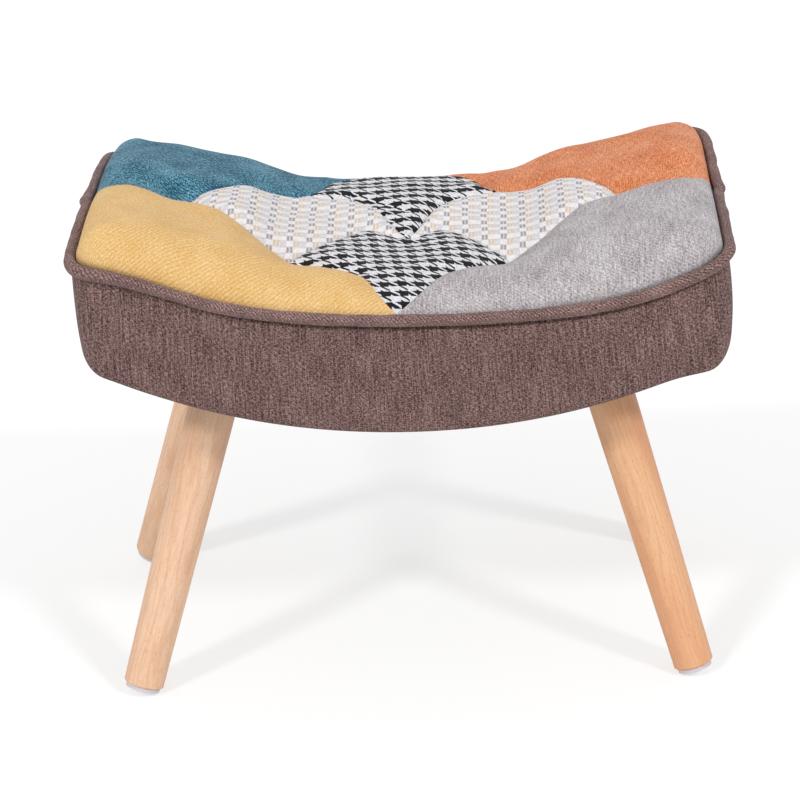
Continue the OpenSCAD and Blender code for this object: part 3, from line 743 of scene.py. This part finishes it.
def make_dust_cover(material):
    """The black cloth under the seat, with its four holes for the legs."""
    edge, _ = outline(DUST_COVER_INSET + 0.5, step=8)
    hole_r = LEG_TOP_D / 2 + HOLE_CLEARANCE
    holes = [(sx * (LEG_SEAT[0] + HOLE_LEAN * LEG_SLOPE_X), sy * (LEG_SEAT[1] + HOLE_LEAN * LEG_SLOPE_Y))
             for sx in (-1, 1) for sy in (-1, 1)]

    def from_holes(x, y, wide=1.0, deep=1.0):
        return np.min([np.hypot((x - hx) / wide, (y - hy) / deep) for hx, hy in holes], axis=0)

    points, edges = [], []
    for ring in [edge] + [hole + hole_r * circle(HOLE_POINTS) * HOLE_SHARES for hole in holes]:
        first, count = len(points), len(ring)
        points += ring.tolist()
        edges += [(first + i, first + (i + 1) % count) for i in range(count)]
    grid = np.meshgrid(*(np.arange(-half, half, COVER_PITCH) for half in (HALF_W, HALF_D)), indexing="ij")
    x, y = (part.ravel() for part in grid)
    clear = edge_distance(x, y, DUST_COVER_INSET) > 4
    clear &= from_holes(x, y) > hole_r * HOLE_SHARES[0] + 4
    points += np.stack([x, y], 1)[clear].tolist()
    result = delaunay_2d_cdt([Vector(p) for p in points], edges, [], 0, 1e-6)
    flat, faces = np.array([tuple(p) for p in result[0]]), np.array(result[2])
    x, y = flat[faces].mean(axis=1).T
    inside = edge_distance(x, y, DUST_COVER_INSET + 0.5) > 0
    faces = faces[inside & (from_holes(x, y, *HOLE_SHARES) > hole_r)]
    x, y = flat.T
    rim = np.clip((edge_distance(x, y, DUST_COVER_INSET) - 14) / 50, 0, 1)
    sag = COVER_SAG * rim * np.clip((from_holes(x, y) - hole_r) / 40, 0, 1)
    lower = lifted(flat, underside_z(x) - 0.9 - sag)
    count = len(flat)
    sides = [side for face in faces.tolist() for side in zip(face, face[1:] + face[:1])]
    both = set(sides)
    walls = [(a, b, b + count, a + count) for a, b in sides if (b, a) not in both]
    all_faces = [*faces, *(faces[:, ::-1] + count), *walls]
    piece = make_piece("dust_cover_cloth", np.concatenate([lower, lower + (0, 0, 0.7)]), all_faces,
                       np.concatenate([flat, flat]), material)
    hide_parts("dust_cover")
    area = triangles_area(*lower[faces.T]) * MM**2
    return piece


# Materials

def srgb(*tone):
    """A colour given as 0 to 255 in sRGB, as the shader's linear values."""
    shares = (c / 255 for c in tone)
    return *(c / 12.92 if c <= 0.04045 else ((c + 0.055) / 1.055) ** 2.4 for c in shares), 1.0


def operator(operation):
    """A method of a value that puts a math node behind it."""
    return lambda value, other=0.0: value.shader.math(operation, value, other)


class Value:
    """An output of a shader's node, which takes plain arithmetic."""

    def __init__(self, shader, socket):
        self.shader, self.socket = shader, socket

    def __rsub__(self, other):
        return self.shader.math("SUBTRACT", other, self)

    __add__ = operator("ADD")
    __sub__ = operator("SUBTRACT")
    __mul__ = operator("MULTIPLY")
    __truediv__ = operator("DIVIDE")
    __mod__ = operator("FLOORED_MODULO")
    __lt__ = operator("LESS_THAN")
    __gt__ = operator("GREATER_THAN")
    __abs__ = operator("ABSOLUTE")
    __floor__ = operator("FLOOR")


class Shader:
    """A node material around one Principled shader. A colour of three numbers is 0 to 255 in sRGB."""

    def __init__(self, name):
        self.material = bpy.data.materials.new(name)
        self.material.use_nodes = True
        self.tree = self.material.node_tree
        self.main = self.tree.nodes["Principled BSDF"]

    def put(self, socket, value):
        """Links a socket to a value, or sets it."""
        if isinstance(value, Value):
            self.tree.links.new(value.socket, socket)
        elif isinstance(value, tuple) and len(value) == 3:
            socket.default_value = srgb(*value)
        else:
            socket.default_value = value

    def node(self, kind, inputs=None, **settings):
        """A new node with its settings and inputs."""
        node = self.tree.nodes.new("ShaderNode" + kind)
        for name, value in settings.items():
            setattr(node, name, value)
        for key, value in (inputs or {}).items():
            self.put(node.inputs[key], value)
        return node

    def value(self, kind, inputs=None, output=0, **settings):
        """One output of such a node."""
        return Value(self, self.node(kind, inputs, **settings).outputs[output])

    def surface(self, **values):
        """Sets the Principled shader's sockets."""
        for name, value in values.items():
            self.put(self.main.inputs[name.replace("_", " ")], value)
        return self.material

    def fabric(self, colour, height, sheen=0.08, relief=0.5, depth=0.0006):
        """The surface of a matt cloth."""
        return self.surface(Base_Color=colour, Roughness=0.95, Specular_IOR_Level=0.1,
                            Sheen_Weight=sheen, Sheen_Roughness=0.5,
                            Normal=self.bump(height, relief, depth))

    def math(self, operation, a, b=0.0, clamp=False):
        return self.value("Math", {0: a, 1: b}, operation=operation, use_clamp=clamp)

    def mix(self, share, a, b):
        return self.value("Mix", {0: share, 6: a, 7: b}, 2, data_type="RGBA")

    def ramp(self, value, dark, ground, light):
        """Three tones, with the middle one at a half."""
        node = self.node("ValToRGB", {0: value})
        tones = node.color_ramp.elements
        tones[0].color, tones[1].color = srgb(*dark), srgb(*light)
        tones.new(0.5).color = srgb(*ground)
        return Value(self, node.outputs[0])

    def steps(self, value, low, high):
        """0 below low, 1 above high and smooth between."""
        return self.value("MapRange", {"Value": value, "From Min": low, "From Max": high},
                          interpolation_type="SMOOTHSTEP")

    def vector(self, x, y, z=0.0):
        return self.value("CombineXYZ", {0: x, 1: y, 2: z})

    def parts(self, vector):
        return [Value(self, part) for part in self.node("SeparateXYZ", {0: vector}).outputs]

    def cloth(self):
        """The cloth coordinates, in millimetres."""
        return self.parts(self.value("UVMap", uv_map="cloth"))[:2]

    def place(self):
        """The place in the piece, in metres."""
        return self.value("TexCoord", output="Object")

    def noise(self, vector, scale=1.0, detail=2.0, rough=0.5):
        """Noise from 0 to 1."""
        return self.value("TexNoise", {"Vector": vector, "Scale": scale, "Detail": detail,
                                       "Roughness": rough})

    def turned(self, u, v, degrees):
        """Coordinates turned by an angle."""
        c, s = math.cos(math.radians(degrees)), math.sin(math.radians(degrees))
        return u * c + v * s, v * c - u * s

    def wave(self, value, pitch):
        """A ripple from 0 to 1 along a coordinate."""
        return self.math("SINE", value * (FULL_TURN / pitch)) * 0.5 + 0.5

    def bump(self, height, strength, distance):
        return self.value("Bump", {"Height": height, "Strength": strength, "Distance": distance})


def melange(s, u, v, width, length):
    """Uneven yarns both ways, from 0 to 1 around a half."""
    warp = s.noise(s.vector(u / width, v / length), 1.0, 1)
    weft = s.noise(s.vector(u / length, v / width, 7.0), 1.0, 1)
    return s.steps(warp + weft, 0.66, 1.34)


def woven(name, dark, ground, light, yarn, uneven, rib=None, streak=None, slow=0.3, specks=0.0,
          sheen=0.15, relief=0.5):
    """A woven upholstery cloth from three tones, with uneven yarns, and ribs and streaks at an angle.

    rib is (angle, pitch, share) and streak is (angle, width, length, share), in degrees and millimetres.
    """
    s = Shader(name)
    u, v = s.cloth()
    yarns = melange(s, u, v, *yarn)
    tone = (yarns - 0.5) * uneven + 0.5
    tone += (s.noise(s.vector(u, v, 3.0), 0.03, 3) - 0.5) * (slow * 2)
    height = yarns
    if rib is not None:
        angle, pitch, share = rib
        across, along = s.turned(u, v, angle)
        wobble = (s.noise(s.vector(across, along), 0.2, 2) - 0.5) * 2.4
        broken = s.noise(s.vector(across / 2.0, along / 3.0, 5.0), 1.0, 1)
        ripple = (s.wave(across + wobble, pitch) - 0.5) * (share * 2) * s.steps(broken, 0.25, 0.65)
        tone += ripple
        height += ripple
    if streak is not None:
        angle, width, length, share = streak
        across, along = s.turned(u, v, angle)
        fibre = s.noise(s.vector(across / width, along / length), 1.0, 2)
        tone += (s.steps(fibre, 0.3, 0.7) - 0.5) * share
    colour = s.ramp(tone, dark, ground, light)
    if specks:
        dot = s.noise(s.vector(u, v, 40.0), 0.9, 1)
        colour = s.mix(s.steps(dot, 0.80, 0.86) * specks, colour, (240, 236, 230))
    fuzz = s.noise(s.vector(u, v, 9.0), 1.6, 2)
    return s.fabric(colour, height + fuzz, sheen, relief)


def houndstooth_cloth(name, warp_share=0.37, thread=2.0):
    """A houndstooth: four dark threads and four light ones each way, in a twill with more weft on top."""
    s = Shader(name)
    u, v = s.cloth()
    wander = (s.noise(s.vector(u, v), 0.03, 2) - 0.5) * 5.0
    fuzz = s.noise(s.vector(u, v, 3.0), 0.8, 1) - 0.5
    a = (u + wander + fuzz) / thread
    b = (v + wander * 0.3) / thread
    group_a, group_b = math.floor(a / 4.0) % 2.0, math.floor(b / 4.0) % 2.0
    warp_up = (a + b) % 4.0 < warp_share * 4
    dark = group_a * warp_up + group_b * (1.0 - warp_up)
    grain = melange(s, u, v, 1.4, 3.0)
    light_tone = s.mix(grain, (205, 204, 208), (240, 239, 242))
    dark_tone = s.mix(grain, (16, 16, 19), (40, 39, 43))
    return s.fabric(s.mix(dark, light_tone, dark_tone), grain * 1.2 + dark * 0.6)


def basket_cloth(name, column=6.0, row=8.0):
    """A cream basket weave: blocks of paired upright yarns in grey, tan and white, and white bars across."""
    s = Shader(name)
    u, v = s.cloth()
    wander = (s.noise(s.vector(u, v), 0.03, 2) - 0.5) * 4.0
    a = (u + wander) / column
    b = (v + wander * 0.4) / row
    kind, odd = math.floor(a) % 3.0, math.floor(b) % 2.0
    is_grey = kind < 0.5
    is_tan = (kind > 0.5) * (kind < 1.5)
    from_pair = abs(abs(s.math("FRACT", a) - 0.5) - 0.27)
    from_middle = abs(s.math("FRACT", b) - 0.5)
    yarn = (1.0 - s.steps(from_pair, 0.10, 0.20)) * (1.0 - s.steps(from_middle, 0.36, 0.5))
    up_grey = is_grey * (1.0 - odd)
    up_tan = is_tan * odd
    up_white = (1.0 - (is_grey + is_tan)) * odd
    grain = melange(s, u, v, 1.4, 3.5)
    bar = s.mix(grain, (226, 222, 222), (246, 243, 243))
    colour = s.mix(up_white, bar, s.mix(grain, (203, 200, 206), (230, 227, 231)))
    colour = s.mix(up_tan, colour, s.mix(grain, (222, 208, 196), (238, 228, 218)))
    colour = s.mix(up_grey, colour, s.mix(grain, (196, 192, 196), (222, 219, 222)))
    patchy = s.math("ADD", grain * 0.75, 0.45, clamp=True)
    colour = s.mix(up_tan * yarn * (patchy * 0.7), colour, (204, 182, 160))
    colour = s.mix(up_grey * yarn * patchy, colour, (152, 144, 150))
    # The grooves between the rows are sunk in the bump and also painted darker: painted shade in the grooves.
    groove_shade = s.steps(from_middle, 0.38, 0.5)
    colour = s.mix(groove_shade * 0.22, colour, (170, 160, 160))
    return s.fabric(colour, grain - groove_shade * 1.2, depth=0.0007)


def leg_wood(name, sx, sy, shift, warm):
    """Pale beech with the grain along one leg."""
    s = Shader(name)
    axis = Vector((sx * LEG_SLOPE_X, sy * LEG_SLOPE_Y, -1)).normalized()
    along_leg = s.value("Mapping", {
        "Rotation": axis.to_track_quat("Z", "Y").to_euler(),
        "Location": Vector((sx * LEG_SEAT[0] * MM, sy * LEG_SEAT[1] * MM, 0.3)),
        "Vector": s.place(),
    }, vector_type="TEXTURE")
    x, y, z = (part * 1000.0 for part in s.parts(along_leg))
    slow = s.noise(s.vector(x / 22.0, y / 22.0, z / 150.0))
    away = x + (shift + 40.0)
    bands = s.wave(s.math("SQRT", away * away + y * y) + slow * 26.0, 4.6)
    fibre = s.noise(s.vector(x / 0.7, y / 0.7, z / 26.0), 1.0, 3, 0.6)
    fleck = s.noise(s.vector(x / 0.55, y / 0.55, z / 4.0), 1.0, 1)
    pale = s.mix(warm, (238, 201, 170), (235, 185, 143))
    deep = s.mix(warm, (229, 186, 153), (226, 165, 123))
    colour = s.mix(s.steps(slow, 0.3, 0.7), pale, deep)
    colour = s.mix(s.steps(bands, 0.55, 1.0) * 0.26, colour, (205, 148, 108))
    colour = s.mix(s.steps(fibre, 0.46, 0.72) * 0.42, colour, (203, 148, 106))
    colour = s.mix(s.steps(fleck, 0.62, 0.72) * 0.5, colour, (172, 116, 82))
    return s.surface(Base_Color=colour, Roughness=0.5, Specular_IOR_Level=0.35,
                     Normal=s.bump(fibre - fleck * 0.6, 0.25, 0.0003))


def frame_wood(name, tone, dark, across=False):
    """Plain sawn wood for the frame, with its grain along the width of the seat or across it."""
    s = Shader(name)
    x, y, z = (part * 1000.0 for part in s.parts(s.place()))
    if across:
        x, y = y, x
    fibre = s.noise(s.vector(x / 40.0, y / 1.4, z / 1.4), 1.0, 3, 0.6)
    slow = s.noise(s.vector(x / 120.0, y / 9.0, z / 9.0))
    colour = s.mix(s.steps(fibre, 0.35, 0.75), tone, dark)
    colour = s.mix(s.steps(s.wave(slow, 0.09), 0.5, 1.0) * 0.3, colour, dark)
    return s.surface(Base_Color=colour, Roughness=0.75, Normal=s.bump(fibre, 0.3, 0.0003))


def speckled(name, tone, dark, scale, roughness, metallic=0.0, bump=0.3):
    """A plain material with fine uneven grain."""
    s = Shader(name)
    grain = s.noise(s.place(), scale, 3, 0.6)
    return s.surface(Base_Color=s.mix(grain * 0.5, tone, dark), Roughness=grain * 0.16 + (roughness - 0.08),
                     Metallic=metallic, Normal=s.bump(grain, bump, 0.0003))


def floor_material():
    """A white floor that keeps a light shadow."""
    s = Shader("floor_white")
    s.surface(Base_Color=(0.92, 0.92, 0.92, 1), Roughness=1.0, Specular_IOR_Level=0.0)
    glow = s.value("Emission", {"Color": (1, 1, 1, 1), "Strength": 1.2})
    seen = s.value("LightPath", output="Is Camera Ray")
    blend = s.value("MixShader", {0: seen * 0.5, 1: Value(s, s.main.outputs[0]), 2: glow})
    s.put(s.tree.nodes["Material Output"].inputs["Surface"], blend)
    return s.material


# The scene

FLOOR_REACH = 12
# The suns: name, azimuth, elevation, energy and angle
SUNS = (("left_softbox", -42, 40, 1.0, 8), ("right_softbox", 42, 40, 0.9, 8))
WORLD_STRENGTH = 0.62
CAMERA_LENS = 140.7
CAMERA_AZIMUTH = -1.8
CAMERA_ELEVATION = 22
CAMERA_ROLL = math.radians(-1.3)
CAMERA_DISTANCE = 3.0
CAMERA_TARGET = Vector((-0.0078, 0, 0.2255))


def make_soft_seat():
    """All the soft pieces, each with its own cloth."""
    fibre = speckled("white_fibre_fill", (244, 243, 240), (222, 220, 216), 700.0, 0.95)
    for make in (make_pad, make_wadding):
        make(fibre)
    foam = speckled("foam_open_cell", (238, 224, 180), (216, 196, 140), 1400.0, 0.95, bump=0.8)
    make_foam(foam)
    twine = speckled("twine_natural", (216, 206, 186), (170, 156, 130), 2500.0, 0.9)
    make_twines(twine)

    cloths = (
        woven("teal_weave", (14, 58, 80), (56, 114, 138), (120, 170, 190), (1.2, 3.2), 1.0,
              rib=(60, 3.2, 0.3), slow=0.6, specks=0.8),
        woven("orange_weave", (180, 84, 40), (218, 134, 88), (242, 182, 142), (1.0, 3.6), 0.6,
              streak=(2, 1.1, 10, 0.4), relief=0.35),
        woven("mustard_twill", (204, 146, 72), (229, 187, 121), (250, 226, 182), (1.0, 2.6), 0.45,
              rib=(137, 3.3, 0.18), slow=0.2),
        woven("grey_weave", (130, 122, 126), (180, 173, 175), (221, 217, 219), (1.1, 3.0), 0.6,
              rib=(50, 2.8, 0.14), streak=(0, 1.5, 16, 0.35)),
        basket_cloth("cream_basket_left"),
        basket_cloth("cream_basket_right"),
        houndstooth_cloth("houndstooth_front"),
        houndstooth_cloth("houndstooth_rear", warp_share=0.3),
    )
    cloth_map = ClothMap()
    for name, cloth in zip(PATCHES, cloths):
        make_patch(name, cloth_map, cloth)
        name.split("_")[1] + "_fabric"
    brown = woven("brown_slub", (58, 40, 40), (112, 87, 84), (160, 132, 127), (1.0, 3.0), 0.85,
                  rib=(48, 2.4, 0.12), streak=(0, 1.3, 36, 0.38), slow=0.2, sheen=0.1)
    make_band(brown)
    piping = woven("piping_bias", (66, 46, 45), (122, 96, 93), (176, 148, 142), (1.1, 2.0), 0.7,
                   rib=(45, 2.6, 0.3), sheen=0.1)
    make_piping(piping)
    black = speckled("dust_cover_black", (30, 30, 32), (14, 14, 16), 1200.0, 0.9)
    make_dust_cover(black)


def paint(material, *names):
    """Gives CAD nodes a better material in all their slots."""
    for name in names:
        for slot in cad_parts[name].material_slots:
            slot.material = material


def paint_frame():
    """Materials of the rigid CAD nodes."""
    for i, (sx, sy, name) in enumerate(((-1, -1, "leg_front_left"), (1, -1, "leg_front_right"),
                                        (-1, 1, "leg_rear_left"), (1, 1, "leg_rear_right"))):
        paint(leg_wood(name + "_beech", sx, sy, 7.0 * i, 0.5 + 0.5 * sx), name)
    paint(speckled("glide_grey", (214, 208, 214), (186, 180, 188), 900.0, 0.7), "foot_pads")
    paint(speckled("zinc_plated", (190, 192, 194), (150, 152, 156), 500.0, 0.35, metallic=1.0),
          "hanger_bolts", "tee_nuts", "frame_screws", "dust_cover_staples")
    pine = (228, 200, 150), (200, 162, 108)
    paint(frame_wood("pine_along", *pine), "front_rail", "rear_rail", "leg_block_front_left",
          "leg_block_front_right", "leg_block_rear_left", "leg_block_rear_right")
    paint(frame_wood("pine_across", *pine, across=True), "left_rail", "right_rail")
    paint(frame_wood("plywood_face", (216, 184, 138), (188, 150, 104)), "deck")
    paint(speckled("washer_black", (34, 34, 36), (20, 20, 22), 600.0, 0.5), "tuft_washers")


def direction(azimuth, elevation):
    """The way from the object to a place, by its angles in degrees from the front."""
    a, e = math.radians(azimuth), math.radians(elevation)
    return Vector((math.sin(a) * math.cos(e), -math.cos(a) * math.cos(e), math.sin(e)))


def make_stage():
    """Floor, soft lights and the photograph's camera."""
    link = bpy.context.scene.collection.objects.link
    mesh = bpy.data.meshes.new("floor")
    corners = [(x * FLOOR_REACH, y * FLOOR_REACH, 0) for x, y in ((-1, -1), (1, -1), (1, 1), (-1, 1))]
    mesh.from_pydata(corners, [], [(0, 1, 2, 3)])
    mesh.materials.append(floor_material())
    floor = bpy.data.objects.new("floor", mesh)
    link(floor)

    for name, azimuth, elevation, energy, wide in SUNS:
        light = bpy.data.lights.new(name, "SUN")
        light.energy = energy
        light.angle = math.radians(wide)
        lamp = bpy.data.objects.new(name, light)
        lamp.rotation_mode = "QUATERNION"
        lamp.rotation_quaternion = direction(azimuth, elevation).to_track_quat("Z", "Y")
        link(lamp)

    world = bpy.data.worlds.new("studio")
    bpy.context.scene.world = world
    world.use_nodes = True
    nodes, join = world.node_tree.nodes, world.node_tree.links.new
    backdrop = nodes["Background"]
    backdrop.inputs["Color"].default_value = (1, 1, 1, 1)
    seen = nodes.new("ShaderNodeMath")
    seen.operation = "MULTIPLY_ADD"
    seen.inputs[1].default_value = 1 - WORLD_STRENGTH
    seen.inputs[2].default_value = WORLD_STRENGTH
    join(nodes.new("ShaderNodeLightPath").outputs["Is Camera Ray"], seen.inputs[0])
    join(seen.outputs[0], backdrop.inputs["Strength"])

    camera = bpy.data.cameras.new("camera")
    camera.sensor_width = 36
    camera.lens = CAMERA_LENS
    camera.clip_end = 100
    eye = bpy.data.objects.new("camera", camera)
    back = direction(CAMERA_AZIMUTH, CAMERA_ELEVATION)
    level = (-back).cross(Vector((0, 0, 1))).normalized()
    turn = Matrix((level, level.cross(-back), back)).transposed().to_4x4()
    turn = turn @ Matrix.Rotation(CAMERA_ROLL, 4, "Z")
    eye.matrix_world = Matrix.Translation(CAMERA_TARGET + back * CAMERA_DISTANCE) @ turn
    link(eye)
    bpy.context.scene.camera = eye
    bpy.context.scene.view_settings.view_transform = "Standard"


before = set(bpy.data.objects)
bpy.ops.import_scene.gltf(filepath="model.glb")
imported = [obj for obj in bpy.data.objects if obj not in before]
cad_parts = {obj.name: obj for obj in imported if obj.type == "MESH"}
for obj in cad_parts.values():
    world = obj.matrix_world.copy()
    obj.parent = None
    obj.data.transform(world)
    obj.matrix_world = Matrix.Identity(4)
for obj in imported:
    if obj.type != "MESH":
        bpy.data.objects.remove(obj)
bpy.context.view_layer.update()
make_soft_seat()
paint_frame()
make_stage()
bpy.context.view_layer.update()
